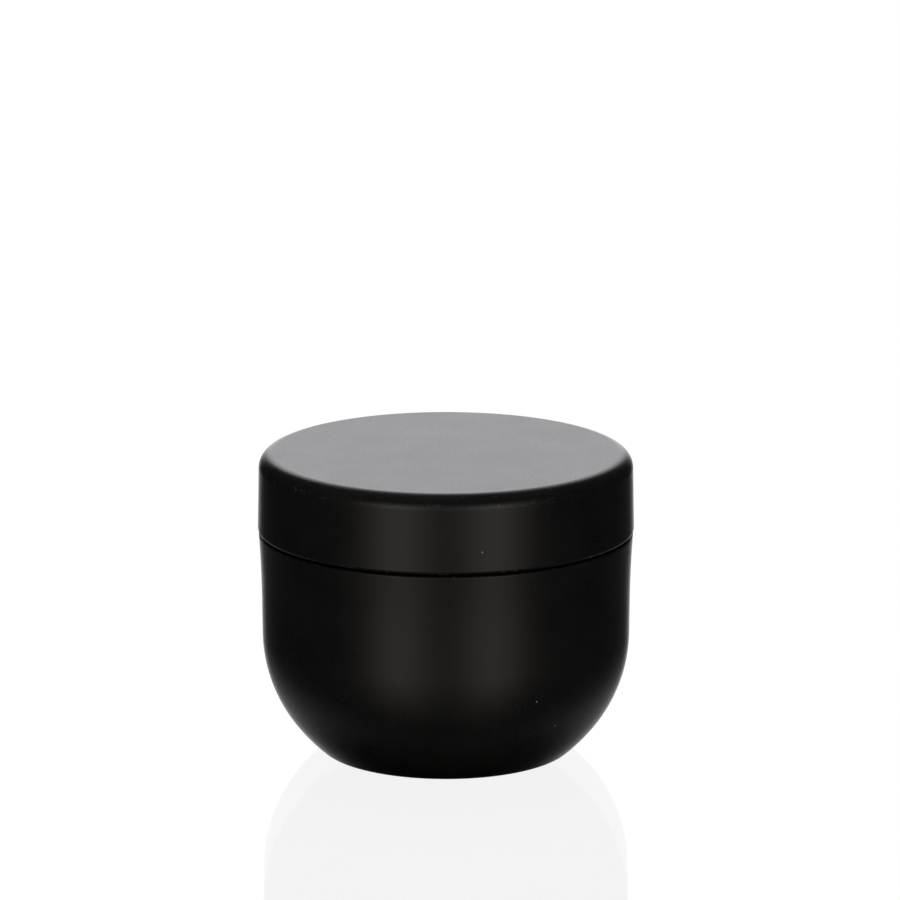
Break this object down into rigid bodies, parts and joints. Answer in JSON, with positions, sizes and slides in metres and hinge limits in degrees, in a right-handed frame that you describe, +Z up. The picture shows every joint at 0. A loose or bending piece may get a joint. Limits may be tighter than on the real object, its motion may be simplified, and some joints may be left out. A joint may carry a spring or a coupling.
{
  "type": "candle tin",
  "caption": "Round black steel tin with a rounded bowl bottom, a necked mouth and a slip-on lid, for pouring, burning and storing container candles.",
  "frame": {"origin": "centre of the base, on the surface the tin stands on", "axes": "+Z up along the tin's axis of revolution; X and Y are free, because the tin is round"},
  "size_m": [0.08, 0.08, 0.065],
  "materials": {
    "body_lacquer": "satin black lacquer on drawn steel, fine orange peel; inside, bare tinplate under clear lacquer",
    "lid_lacquer": "satin black lacquer on drawn steel, fine orange peel; inside, bare tinplate under clear lacquer"
  },
  "bodies": {
    "tin": {"tin_body": "body_lacquer"},
    "lid": {"lid": "lid_lacquer"}
  },
  "joints": [
    {"name": "lid_lift", "type": "slide", "parent": "tin", "child": "lid", "axis": [0, 0, 1], "range_m": [0, 0.05]}
  ]
}
